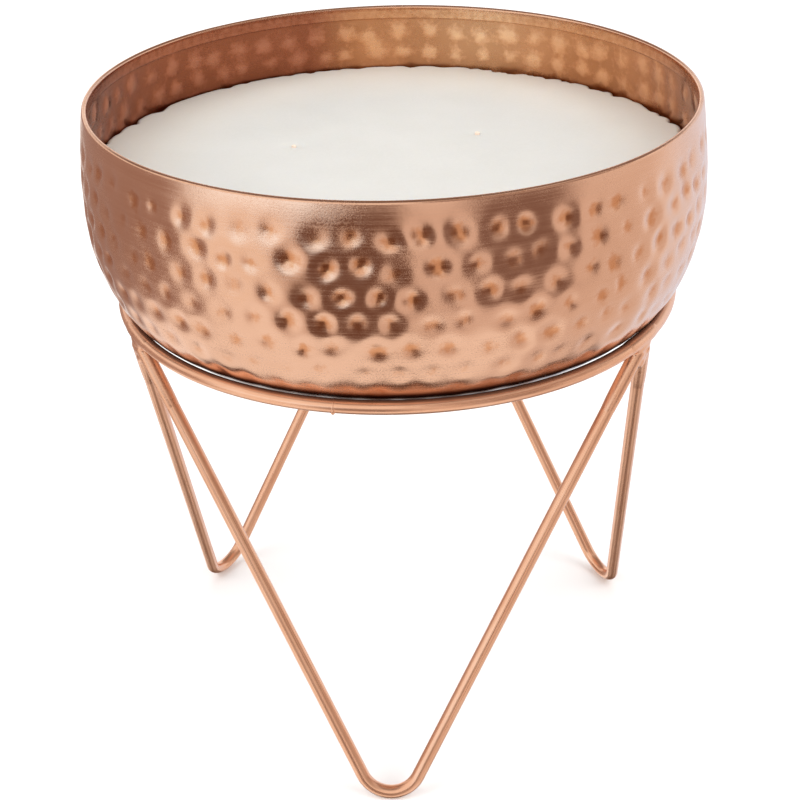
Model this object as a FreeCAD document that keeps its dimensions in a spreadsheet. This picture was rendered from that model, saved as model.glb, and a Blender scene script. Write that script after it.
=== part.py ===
import FreeCAD, Part
import math
import os

import Sketcher
from FreeCAD import Placement, Rotation, Vector

# Hammered metal bowl filled with candle wax, standing in a ring of wire on three V-shaped legs.
# The origin lies on the floor under the bowl's axis, +Z is up and the front leg points to -Y.
# An azimuth is an angle about +Z, counted from -Y towards +X. Lengths are in mm, angles in degrees.

DIMENSIONS = [
    ("wire_diameter", 6.0, "all wires of the stand"),
    ("ring_radius", 124.4, "axis of the stand to the centre of the ring's wire"),
    ("ring_height", 205.0, "floor to the centre of the ring's wire"),
    ("seam_azimuth", -8.0, "where the ring's two ends meet"),
    ("seam_angle", 1.5, "angle of the ring that the closing weld takes up"),
    ("seam_swell", 0.35, "how far the closing weld stands out, outward and downward"),
    ("foot_radius", 120.0, "axis of the stand to the wire's centre at a foot"),
    ("foot_bend", 14.0, "radius of a foot's bend, at the wire's centre"),
    ("leg_top_radius", 123.8, "axis of the stand to a leg's end"),
    ("leg_top_drop", 6.5, "ring's centre down to a leg's end"),
    ("leg_end_spacing", 6.3, "between the two leg ends of one joint"),
    ("weld_length", 21.0, "joint weld along the ring"),
    ("weld_width", 7.0, "joint weld across the ring"),
    ("weld_depth", 9.0, "joint weld from top to bottom"),
    ("weld_radius", 124.3, "axis of the stand to the middle of a joint weld"),
    ("weld_drop", 5.0, "ring's centre down to the middle of a joint weld"),
    ("sheet_thickness", 1.1, "bowl's sheet"),
    ("rim_height", 296.0, "floor to the bowl's rim"),
    ("widest_height", 254.7, "floor to the bowl's widest circle"),
    ("widest_radius", 138.0, "bowl's widest outer radius"),
    ("upper_arc", 218.8, "outer arc between the widest circle and the rim"),
    ("side_arc", 89.8, "outer arc from the widest circle down to the knuckle"),
    ("knuckle_arc", 38.0, "outer arc that rests on the ring"),
    ("bottom_arc", 90.0, "outer arc between the knuckle and the flat base"),
    ("base_radius", 64.0, "flat base of the bowl"),
    ("base_height", 186.0, "floor to the underside of the base"),
    ("hem_height", 6.5, "sheet folded inward and down at the rim"),
    ("hem_thickness", 2.4, "both layers of the hem"),
    ("wax_level", 264.0, "floor to the wax's surface"),
    ("wax_clearance", 0.15, "between wax and sheet"),
    ("wick_circle", 49.0, "radius of the circle that the wicks stand on"),
    ("wick_azimuth", 12.0, "azimuth of the front wick"),
    ("wick_diameter", 2.6, "braided wick"),
    ("wick_clearance", 0.05, "between a wick or its sustainer and the wax"),
    ("wick_stub", 0.6, "wick above the wax's surface"),
    ("dimple_diameter", 9.0, "melted dimple round a wick"),
    ("dimple_depth", 1.2, "melted dimple round a wick"),
    ("disc_diameter", 20.0, "wick sustainer's disc"),
    ("disc_thickness", 0.6, "wick sustainer's disc"),
    ("neck_diameter", 4.2, "wick sustainer's neck"),
    ("neck_height", 5.0, "wick sustainer, disc and neck together"),
]

# Each V leg spans a third of the ring: its ends meet its neighbours' ends half-way between the feet.
LEG_AZIMUTHS = {"leg_front": 0.0, "leg_rear_right": 120.0, "leg_rear_left": 240.0}
JOINTS = {
    "weld_right": (60.0, "leg_front", "leg_rear_right"),
    "weld_rear": (180.0, "leg_rear_right", "leg_rear_left"),
    "weld_left": (300.0, "leg_rear_left", "leg_front"),
}
WICK_TURNS = {"front": 0.0, "right": 120.0, "left": 240.0}

doc = FreeCAD.newDocument("bowl_on_wire_stand")
dims = {alias: value for alias, value, _ in DIMENSIONS}


def make_sheet():
    """The spreadsheet that every sub-part's sizes are bound to."""
    sheet = doc.addObject("Spreadsheet::Sheet", "dims")
    for row, (alias, value, note) in enumerate(DIMENSIONS, start=1):
        sheet.set("A%d" % row, alias)
        sheet.set("B%d" % row, str(value))
        sheet.set("C%d" % row, note)
        sheet.setAlias("B%d" % row, alias)
    doc.recompute()


def origin_feature(body, role):
    """One of the body's own origin planes or axes."""
    return next(item for item in body.Origin.OriginFeatures if item.Role == role)


def new_body(label):
    """An empty body, which is one sub-part."""
    body = doc.addObject("PartDesign::Body", label)
    body.Label = label
    return body


def new_sketch(body, name, role):
    """An empty sketch on one of the body's origin planes."""
    sketch = body.newObject("Sketcher::SketchObject", body.Name + "_" + name)
    sketch.AttachmentSupport = (origin_feature(body, role), [""])
    sketch.MapMode = "FlatFace"
    return sketch


def constrain(sketch, expression, *arguments):
    """Adds a constraint and binds its value to an expression in the sheet's names."""
    index = sketch.addConstraint(Sketcher.Constraint(*arguments))
    sketch.setExpression("Constraints[%d]" % index, expression)


def place_point(sketch, geometry, point, x_expression, y_expression):
    """Ties a point to the sketch's origin by its two coordinates; None means on that axis."""
    if x_expression is None:
        sketch.addConstraint(Sketcher.Constraint("PointOnObject", geometry, point, -2))
    else:
        x = sketch.getPoint(geometry, point).x
        constrain(sketch, x_expression, "DistanceX", -1, 1, geometry, point, x)
    y = sketch.getPoint(geometry, point).y
    constrain(sketch, y_expression, "DistanceY", -1, 1, geometry, point, y)


def circle(sketch, x, radius, x_expression, radius_expression):
    """A full circle on the sketch's horizontal axis; no x expression means at the origin."""
    geometry = sketch.addGeometry(Part.Circle(Vector(x, 0, 0), Vector(0, 0, 1), radius), False)
    constrain(sketch, radius_expression, "Radius", geometry, radius)
    if x_expression is None:
        sketch.addConstraint(Sketcher.Constraint("Coincident", geometry, 3, -1, 1))
    else:
        constrain(sketch, x_expression, "DistanceX", -1, 1, geometry, 3, x)
        sketch.addConstraint(Sketcher.Constraint("PointOnObject", geometry, 3, -1))


def line(sketch, start, end):
    """A straight edge between two (x, y) points."""
    return sketch.addGeometry(Part.LineSegment(Vector(*start, 0), Vector(*end, 0)), False)


def arc(sketch, centre, radius, start, end):
    """An arc about (x, y), counter-clockwise between two angles in radians."""
    whole = Part.Circle(Vector(*centre, 0), Vector(0, 0, 1), radius)
    return sketch.addGeometry(Part.ArcOfCircle(whole, start, end), False)


def join(sketch, *pairs):
    """Makes end points meet: each pair is (geometry, point, geometry, point)."""
    for pair in pairs:
        sketch.addConstraint(Sketcher.Constraint("Coincident", *pair))


def revolve(body, sketch, name):
    """A full turn of the sketch about the body's Z axis."""
    solid = body.newObject("PartDesign::Revolution", body.Name + "_" + name)
    solid.Profile = sketch
    solid.ReferenceAxis = (origin_feature(body, "Z_Axis"), [""])
    solid.Angle = 360.0
    body.Tip = solid
    return solid


def on_azimuth(radius, azimuth, height):
    """A point at a radius, azimuth and height."""
    angle = math.radians(azimuth)
    return Vector(radius * math.sin(angle), -radius * math.cos(angle), height)


# ---------------------------------------------------------------- stand


def make_ring():
    """The ring that carries the bowl: one wire, open by the width of its closing weld."""
    ring = new_body("support_ring")
    section = new_sketch(ring, "section", "XZ_Plane")
    circle(section, dims["ring_radius"], dims["wire_diameter"] / 2,
           "dims.ring_radius", "dims.wire_diameter / 2")
    turn = revolve(ring, section, "turn")
    turn.setExpression("Angle", "360 - dims.seam_angle")
    ring.setExpression("Placement.Base.z", "dims.ring_height")
    ring.setExpression("Placement.Rotation.Angle", "dims.seam_azimuth - 90 + dims.seam_angle / 2")
    return ring


def make_seam():
    """The bead that closes the ring, swollen away from the bowl."""
    seam = doc.addObject("Part::Torus", "ring_closing_weld")
    seam.Label = "ring_closing_weld"
    seam.setExpression("Radius1", "dims.ring_radius + dims.seam_swell")
    seam.setExpression("Radius2", "dims.wire_diameter / 2 + dims.seam_swell")
    seam.setExpression("Angle3", "dims.seam_angle")
    seam.setExpression("Placement.Base.z", "dims.ring_height - dims.seam_swell")
    seam.setExpression("Placement.Rotation.Angle", "dims.seam_azimuth - 90 - dims.seam_angle / 2")
    return seam


# The V leg in its own plane: X runs along the floor and Y up the slope, from the bend's lowest point.
HALF_SPAN = "(60 - asin(dims.leg_end_spacing / 2 / dims.leg_top_radius) / 1 deg)"
END_ACROSS = "dims.leg_top_radius * sin(%s)" % HALF_SPAN
RISE = "(dims.ring_height - dims.leg_top_drop - dims.wire_diameter / 2)"
RUN = "(dims.foot_radius - dims.leg_top_radius * cos(%s))" % HALF_SPAN
SLOPE = "sqrt(%s * %s + %s * %s)" % (RISE, RISE, RUN, RUN)


def leg_layout():
    """The V leg's numbers: end point along and up the slope, and the slope's lean in degrees."""
    half_span = math.radians(60) - math.asin(dims["leg_end_spacing"] / 2 / dims["leg_top_radius"])
    across = dims["leg_top_radius"] * math.sin(half_span)
    rise = dims["ring_height"] - dims["leg_top_drop"] - dims["wire_diameter"] / 2
    run = dims["foot_radius"] - dims["leg_top_radius"] * math.cos(half_span)
    return across, math.hypot(rise, run), math.degrees(math.atan2(run, rise))


def tangent_angle(across, up, bend):
    """Where on the foot's bend the straight arm leaves it, as an angle about the bend's centre."""
    reach = math.hypot(across, up - bend)
    return math.atan2(up - bend, across) - math.acos(bend / reach)


def make_leg(label, azimuth):
    """One V leg: a bend at the floor and two straight arms up to the ring."""
    leg = new_body(label)
    across, up, lean = leg_layout()
    bend = dims["foot_bend"]
    leave = tangent_angle(across, up, bend)
    path = new_sketch(leg, "path", "XZ_Plane")
    foot = arc(path, (0, bend), bend, -math.pi / 2, leave)
    arm = line(path, (bend * math.cos(leave), bend + bend * math.sin(leave)), (across, up))
    join(path, (foot, 1, -1, 1))
    path.addConstraint(Sketcher.Constraint("PointOnObject", foot, 3, -2))
    path.addConstraint(Sketcher.Constraint("Tangent", foot, 2, arm, 1))
    constrain(path, "dims.foot_bend", "Radius", foot, bend)
    place_point(path, arm, 2, END_ACROSS, SLOPE)
    section = new_sketch(leg, "section", "YZ_Plane")
    circle(section, 0, dims["wire_diameter"] / 2, None, "dims.wire_diameter / 2")
    pipe = leg.newObject("PartDesign::AdditivePipe", label + "_arm")
    pipe.Profile = section
    pipe.Spine = (path, ["Edge1", "Edge2"])
    mirror = leg.newObject("PartDesign::Mirrored", label + "_mirror")
    mirror.Originals = [pipe]
    mirror.MirrorPlane = (origin_feature(leg, "YZ_Plane"), [""])
    leg.Tip = mirror
    stand_leg_up(leg, azimuth, lean)
    return leg


def stand_leg_up(leg, azimuth, lean):
    """Leans the leg inward and turns it to its azimuth, with the bend on the floor."""
    turn = Rotation(Vector(0, 0, 1), azimuth).multiply(Rotation(Vector(1, 0, 0), -lean))
    leg.Placement = Placement(on_azimuth(dims["foot_radius"], azimuth, 0), turn)
    leg.setExpression("Placement.Base.x", "dims.foot_radius * sin(%g)" % azimuth)
    leg.setExpression("Placement.Base.y", "-dims.foot_radius * cos(%g)" % azimuth)
    leg.setExpression("Placement.Base.z", "dims.wire_diameter / 2")


def make_joint_weld(label, azimuth, members):
    """The fillet of weld round two leg ends under the ring, hollowed where the wires run."""
    bead = doc.addObject("Part::Ellipsoid", label + "_bead")
    bead.setExpression("Radius1", "dims.weld_depth / 2")
    bead.setExpression("Radius2", "dims.weld_length / 2")
    bead.setExpression("Radius3", "dims.weld_width / 2")
    bead.Placement.Rotation = Rotation(Vector(0, 0, 1), azimuth)
    bead.setExpression("Placement.Base.x", "dims.weld_radius * sin(%g)" % azimuth)
    bead.setExpression("Placement.Base.y", "-dims.weld_radius * cos(%g)" % azimuth)
    bead.setExpression("Placement.Base.z", "dims.ring_height - dims.weld_drop")
    wires = doc.addObject("Part::MultiFuse", label + "_wires")
    wires.Shapes = members
    weld = doc.addObject("Part::Cut", label)
    weld.Label = label
    weld.Base = bead
    weld.Tool = wires
    return weld


# ---------------------------------------------------------------- bowl


def knuckle_centre():
    """Centre of the knuckle arc, which touches the side arc and the bottom arc from inside."""
    side = Vector(dims["widest_radius"] - dims["side_arc"], dims["widest_height"], 0)
    bottom = Vector(dims["base_radius"], dims["base_height"] + dims["bottom_arc"], 0)
    from_side = dims["side_arc"] - dims["knuckle_arc"]
    from_bottom = dims["bottom_arc"] - dims["knuckle_arc"]
    apart = bottom - side
    along = (from_side ** 2 - from_bottom ** 2 + apart.Length ** 2) / (2 * apart.Length)
    off = math.sqrt(from_side ** 2 - along ** 2)
    unit = Vector(apart.x / apart.Length, apart.y / apart.Length, 0)
    options = [side + unit * along + Vector(-unit.y, unit.x, 0) * off * sign for sign in (1, -1)]
    return max(options, key=lambda centre: centre.x)


def draw_wall(sketch, inset, inset_expression, top_height):
    """The bowl's outline moved inward by inset: base line, bottom, knuckle, side and upper arcs.

    Returns the base line and the upper arc, whose free ends the caller joins.
    """
    side = (dims["widest_radius"] - dims["side_arc"], dims["widest_height"])
    upper = (dims["widest_radius"] - dims["upper_arc"], dims["widest_height"])
    bottom = (dims["base_radius"], dims["base_height"] + dims["bottom_arc"])
    knuckle = knuckle_centre()
    low_turn = math.atan2(knuckle.y - bottom[1], knuckle.x - bottom[0])
    high_turn = math.atan2(knuckle.y - side[1], knuckle.x - side[0])
    upper_size = dims["upper_arc"] - inset
    base_line = line(sketch, (0, dims["base_height"] + inset), (bottom[0], dims["base_height"] + inset))
    low = arc(sketch, bottom, dims["bottom_arc"] - inset, -math.pi / 2, low_turn)
    bend = arc(sketch, (knuckle.x, knuckle.y), dims["knuckle_arc"] - inset, low_turn, high_turn)
    flank = arc(sketch, side, dims["side_arc"] - inset, high_turn, 0)
    shoulder = arc(sketch, upper, upper_size, 0, math.asin((top_height - upper[1]) / upper_size))
    chain = (base_line, low, bend, flank, shoulder)
    for before, after in zip(chain, chain[1:]):
        sketch.addConstraint(Sketcher.Constraint("Tangent", before, 2, after, 1))
    sketch.addConstraint(Sketcher.Constraint("Horizontal", base_line))
    for geometry, name in ((low, "bottom"), (bend, "knuckle"), (flank, "side"), (shoulder, "upper")):
        radius = dims[name + "_arc"] - inset
        constrain(sketch, "dims.%s_arc - %s" % (name, inset_expression), "Radius", geometry, radius)
    place_point(sketch, flank, 3, "dims.widest_radius - dims.side_arc", "dims.widest_height")
    constrain(sketch, "dims.widest_height", "DistanceY", -1, 1, flank, 2, dims["widest_height"])
    place_point(sketch, base_line, 1, None, "dims.base_height + %s" % inset_expression)
    constrain(sketch, "dims.base_radius", "DistanceX", -1, 1, low, 3, dims["base_radius"])
    return base_line, shoulder


def wall_radius(height, inset):
    """The outline's radius at a height between the widest circle and the rim."""
    size = dims["upper_arc"] - inset
    centre = dims["widest_radius"] - dims["upper_arc"]
    return centre + math.sqrt(size ** 2 - (height - dims["widest_height"]) ** 2)


def make_shell():
    """The bowl: one sheet, with its rim folded inward into a hem."""
    shell = new_body("bowl_shell")
    thickness = dims["sheet_thickness"]
    wall_top = dims["rim_height"] - dims["hem_thickness"] / 2
    wall = new_sketch(shell, "wall", "XZ_Plane")
    outer_base, outer_top = draw_wall(wall, 0, "0", wall_top)
    inner_base, inner_top = draw_wall(wall, thickness, "dims.sheet_thickness", wall_top)
    axis = line(wall, (0, dims["base_height"]), (0, dims["base_height"] + thickness))
    join(wall, (axis, 1, outer_base, 1), (axis, 2, inner_base, 1))
    edge = line(wall, (wall_radius(wall_top, 0), wall_top), (wall_radius(wall_top, thickness), wall_top))
    join(wall, (edge, 1, outer_top, 2), (edge, 2, inner_top, 2))
    wall.addConstraint(Sketcher.Constraint("Horizontal", edge))
    constrain(wall, "dims.rim_height - dims.hem_thickness / 2", "DistanceY", -1, 1, edge, 1, wall_top)
    revolve(shell, wall, "sheet")
    add_hem(shell, wall_top)
    return shell


def add_hem(shell, wall_top):
    """The rolled rim and the band that it leaves inside the bowl."""
    half = dims["hem_thickness"] / 2
    outside = wall_radius(wall_top, 0)
    low = dims["rim_height"] - dims["hem_height"]
    hem = new_sketch(shell, "hem", "XZ_Plane")
    roll = arc(hem, (outside - half, wall_top), half, 0, math.pi)
    inner = line(hem, (outside - 2 * half, wall_top), (outside - 2 * half, low))
    under = line(hem, (outside - 2 * half, low), (outside - half, low))
    back = line(hem, (outside - half, low), (outside - half, wall_top))
    across = line(hem, (outside - half, wall_top), (outside, wall_top))
    join(hem, (roll, 2, inner, 1), (inner, 2, under, 1), (under, 2, back, 1))
    join(hem, (back, 2, across, 1), (across, 2, roll, 1), (roll, 3, back, 2))
    hem.addConstraint(Sketcher.Constraint("Vertical", inner))
    hem.addConstraint(Sketcher.Constraint("Horizontal", under))
    hem.addConstraint(Sketcher.Constraint("Vertical", back))
    hem.addConstraint(Sketcher.Constraint("Horizontal", across))
    hem.addConstraint(Sketcher.Constraint("Horizontal", roll, 2, roll, 3))
    constrain(hem, "dims.hem_thickness / 2", "Radius", roll, half)
    constrain(hem, "dims.rim_height - dims.hem_thickness / 2", "DistanceY", -1, 1, roll, 3, wall_top)
    constrain(hem, "dims.rim_height - dims.hem_height", "DistanceY", -1, 1, under, 1, low)
    rise = "(dims.rim_height - dims.hem_thickness / 2 - dims.widest_height)"
    outer = ("dims.widest_radius - dims.upper_arc + sqrt(dims.upper_arc * dims.upper_arc - %s * %s)"
             % (rise, rise))
    constrain(hem, outer, "DistanceX", -1, 1, across, 2, outside)
    revolve(shell, hem, "rim")


# ---------------------------------------------------------------- candle

WAX_INSET = "(dims.sheet_thickness + dims.wax_clearance)"
WAX_FLOOR = "(dims.base_height + %s)" % WAX_INSET
WICK_FOOT = "(%s + dims.disc_thickness)" % WAX_FLOOR


def make_wax():
    """The wax that fills the bowl, with a hole and a dimple for each wick."""
    wax = new_body("wax_fill")
    inset = dims["sheet_thickness"] + dims["wax_clearance"]
    fill = new_sketch(wax, "fill", "XZ_Plane")
    base_line, shoulder = draw_wall(fill, inset, WAX_INSET, dims["wax_level"])
    top = line(fill, (wall_radius(dims["wax_level"], inset), dims["wax_level"]), (0, dims["wax_level"]))
    axis = line(fill, (0, dims["wax_level"]), (0, dims["base_height"] + inset))
    join(fill, (shoulder, 2, top, 1), (top, 2, axis, 1), (axis, 2, base_line, 1))
    fill.addConstraint(Sketcher.Constraint("Horizontal", top))
    fill.addConstraint(Sketcher.Constraint("Vertical", axis))
    constrain(fill, "dims.wax_level", "DistanceY", -1, 1, top, 1, dims["wax_level"])
    revolve(wax, fill, "cast")
    holes = [
        bore(wax, "wick", "dims.wick_diameter / 2 + dims.wick_clearance",
             WAX_FLOOR, "dims.wax_level - dims.base_height"),
        bore(wax, "disc", "dims.disc_diameter / 2 + dims.wick_clearance",
             WAX_FLOOR, "dims.disc_thickness + dims.wick_clearance"),
        bore(wax, "neck", "dims.neck_diameter / 2 + dims.wick_clearance",
             WAX_FLOOR, "dims.neck_height + dims.wick_clearance"),
        bore(wax, "dimple", "dims.dimple_diameter / 2",
             "dims.wax_level - dims.dimple_depth", "dims.dimple_depth"),
    ]
    pattern = wax.newObject("PartDesign::PolarPattern", "wax_fill_pattern")
    pattern.Originals = holes
    pattern.Axis = (origin_feature(wax, "Z_Axis"), [""])
    pattern.Angle = 360
    pattern.Occurrences = len(WICK_TURNS)
    wax.Tip = pattern
    wax.setExpression("Placement.Rotation.Angle", "dims.wick_azimuth - 90")
    return wax


def bore(body, name, radius, height, depth):
    """A round pocket that opens upward from a height, on the body's first wick position."""
    sketch = new_sketch(body, name, "XY_Plane")
    sketch.setExpression("AttachmentOffset.Base.z", height)
    circle(sketch, dims["wick_circle"], 1.0, "dims.wick_circle", radius)
    pocket = body.newObject("PartDesign::Pocket", body.Name + "_" + name + "_bore")
    pocket.Profile = sketch
    pocket.Reversed = True
    pocket.setExpression("Length", depth)
    body.Tip = pocket
    return pocket


def put_on_wick_circle(piece, turn, height):
    """Places a piece on the wick circle."""
    azimuth = "(dims.wick_azimuth + %g)" % turn
    piece.setExpression("Placement.Base.x", "dims.wick_circle * sin(%s)" % azimuth)
    piece.setExpression("Placement.Base.y", "-dims.wick_circle * cos(%s)" % azimuth)
    piece.setExpression("Placement.Base.z", height)


def make_wick(label, turn):
    """A trimmed wick, from the inside of its sustainer's neck to just above the wax."""
    wick = doc.addObject("Part::Cylinder", label)
    wick.Label = label
    wick.setExpression("Radius", "dims.wick_diameter / 2")
    wick.setExpression("Height", "dims.wax_level + dims.wick_stub - %s" % WICK_FOOT)
    put_on_wick_circle(wick, turn, WICK_FOOT)
    return wick


def make_sustainer(label, turn):
    """A tin disc with a neck that grips the wick."""
    sustainer = new_body(label)
    disc = new_sketch(sustainer, "disc", "XY_Plane")
    circle(disc, 0, 1.0, None, "dims.disc_diameter / 2")
    plate = sustainer.newObject("PartDesign::Pad", label + "_plate")
    plate.Profile = disc
    plate.setExpression("Length", "dims.disc_thickness")
    tube = new_sketch(sustainer, "tube", "XY_Plane")
    tube.setExpression("AttachmentOffset.Base.z", "dims.disc_thickness")
    circle(tube, 0, 2.0, None, "dims.neck_diameter / 2")
    circle(tube, 0, 1.0, None, "dims.wick_diameter / 2 + dims.wick_clearance")
    neck = sustainer.newObject("PartDesign::Pad", label + "_neck")
    neck.Profile = tube
    neck.setExpression("Length", "dims.neck_height - dims.disc_thickness")
    sustainer.Tip = neck
    put_on_wick_circle(sustainer, turn, WAX_FLOOR)
    return sustainer


# ---------------------------------------------------------------- whole object


def make_stand():
    """Ring, three legs and their welds."""
    ring = make_ring()
    legs = {label: make_leg(label, azimuth) for label, azimuth in LEG_AZIMUTHS.items()}
    welds = [
        make_joint_weld(label, azimuth, [ring, legs[first], legs[second]])
        for label, (azimuth, first, second) in JOINTS.items()
    ]
    return [ring, make_seam(), *legs.values(), *welds]


def make_candle():
    """Bowl, wax, wicks and sustainers."""
    pieces = [make_shell(), make_wax()]
    for name, turn in WICK_TURNS.items():
        pieces.append(make_wick("wick_" + name, turn))
        pieces.append(make_sustainer("sustainer_" + name, turn))
    return pieces


def check(pieces):
    """Stops if any object failed to build or any sub-part isn't one sound solid."""
    for item in doc.Objects:
        if "Invalid" in item.State or "Error" in item.State:
            raise RuntimeError("%s is %s" % (item.Name, item.State))
    for piece in pieces:
        if piece.Shape.isNull() or not piece.Shape.isValid():
            raise RuntimeError("%s has no valid shape" % piece.Label)
        if len(piece.Shape.Solids) != 1:
            raise RuntimeError("%s is %d solids" % (piece.Label, len(piece.Shape.Solids)))


def write(pieces):
    """Writes one STEP file for each sub-part."""
    os.makedirs("parts", exist_ok=True)
    for piece in pieces:
        piece.Shape.exportStep("parts/%s.step" % piece.Label)
        box = piece.Shape.BoundBox
        print("%-18s %9.1f mm3  z %6.1f to %6.1f" % (piece.Label, piece.Shape.Volume, box.ZMin, box.ZMax))


make_sheet()
sub_parts = make_stand() + make_candle()
doc.recompute()
check(sub_parts)
write(sub_parts)
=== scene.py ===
import math

import bpy
import numpy as np
from mathutils import Matrix, Vector


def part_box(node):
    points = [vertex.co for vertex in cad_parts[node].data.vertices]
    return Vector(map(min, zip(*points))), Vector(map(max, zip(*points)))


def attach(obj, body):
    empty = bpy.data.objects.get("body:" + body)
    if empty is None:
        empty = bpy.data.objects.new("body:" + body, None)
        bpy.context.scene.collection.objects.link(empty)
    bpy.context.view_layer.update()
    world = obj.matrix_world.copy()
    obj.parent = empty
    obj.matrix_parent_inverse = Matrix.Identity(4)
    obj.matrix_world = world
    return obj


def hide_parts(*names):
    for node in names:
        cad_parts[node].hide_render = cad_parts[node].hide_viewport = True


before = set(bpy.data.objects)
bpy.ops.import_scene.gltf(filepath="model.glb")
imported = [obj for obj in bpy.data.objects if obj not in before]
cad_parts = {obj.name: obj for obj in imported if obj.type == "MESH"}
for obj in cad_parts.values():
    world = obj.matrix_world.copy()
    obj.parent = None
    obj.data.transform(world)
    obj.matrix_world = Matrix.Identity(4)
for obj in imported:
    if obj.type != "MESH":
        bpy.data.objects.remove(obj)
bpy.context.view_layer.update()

# Metres throughout. An azimuth is an angle about +Z, counted from -Y towards +X.
rng = np.random.default_rng(20)
MM = 0.001

# ------------------------------------------------------------------ sizes

ring_low, ring_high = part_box("support_ring")
shell_low, shell_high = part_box("bowl_shell")
_, wax_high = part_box("wax_fill")
leg_low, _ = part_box("leg_front")

WIRE = (ring_high.z - ring_low.z) / 2
RING_HEIGHT = (ring_high.z + ring_low.z) / 2
RING_RADIUS = ring_high.x - WIRE
FOOT_SPREAD = 0.5 * MM  # the feet stand this much further out than in CAD
FOOT_RADIUS = -leg_low.y - WIRE + FOOT_SPREAD
FOOT_BEND = 14.0 * MM
LEG_TOP_RADIUS = RING_RADIUS - 0.6 * MM
LEG_TOP_DROP = 6.5 * MM
LEG_END_SPACING = 6.3 * MM

RIM = shell_high.z
BASE = shell_low.z
WIDEST = shell_high.x
WIDEST_HEIGHT = 254.7 * MM
UPPER_ARC = 218.8 * MM
SIDE_ARC = 89.8 * MM
KNUCKLE_ARC = 38.0 * MM
BOTTOM_ARC = 90.0 * MM
BASE_RADIUS = 64.0 * MM
SHEET = 1.1 * MM
HEM_HEIGHT = 6.5 * MM
HEM = 2.4 * MM
WAX_LEVEL = wax_high.z

LEG_AZIMUTHS = {"leg_front": 0.0, "leg_rear_right": 120.0, "leg_rear_left": 240.0}
JOINT_AZIMUTHS = {"weld_right": 60.0, "weld_rear": 180.0, "weld_left": 300.0}
SEAM_AZIMUTH = -8.0


# ------------------------------------------------------------------ nodes and materials

OUTSIDE_DARK = (0.84, 0.49, 0.325)
OUTSIDE_LIGHT = (0.93, 0.565, 0.39)
# The inside: its own golden colour made darker as painted shade for the shaded wax it mirrors, with painted
# shade between its bumps and painted highlights on them.
INSIDE_SHADED = (0.50, 0.22, 0.10)
INSIDE_PLAIN = (0.62, 0.285, 0.135)
INSIDE_HIGHLIT = (0.79, 0.41, 0.213)
WIRE_DARK = (0.90, 0.485, 0.30)
WIRE_LIGHT = (0.97, 0.565, 0.372)

# These multiply the colours above. The first two are painted shade and a painted reflection on the inside wall,
# fixed by azimuth. The third darkens and reddens the dents: partly patina, partly painted shade. The last is
# painted shade where the bowl sits in the ring.
INSIDE_PAINTED_SHADE = (0.64, 0.48, 0.53)
INSIDE_PAINTED_REFLECTION = (1.22, 1.50, 1.75)
PATINA_AND_SHADE = (0.84, 0.64, 0.46)
SEAT_SHADE = (0.13, 0.075, 0.06)


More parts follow.
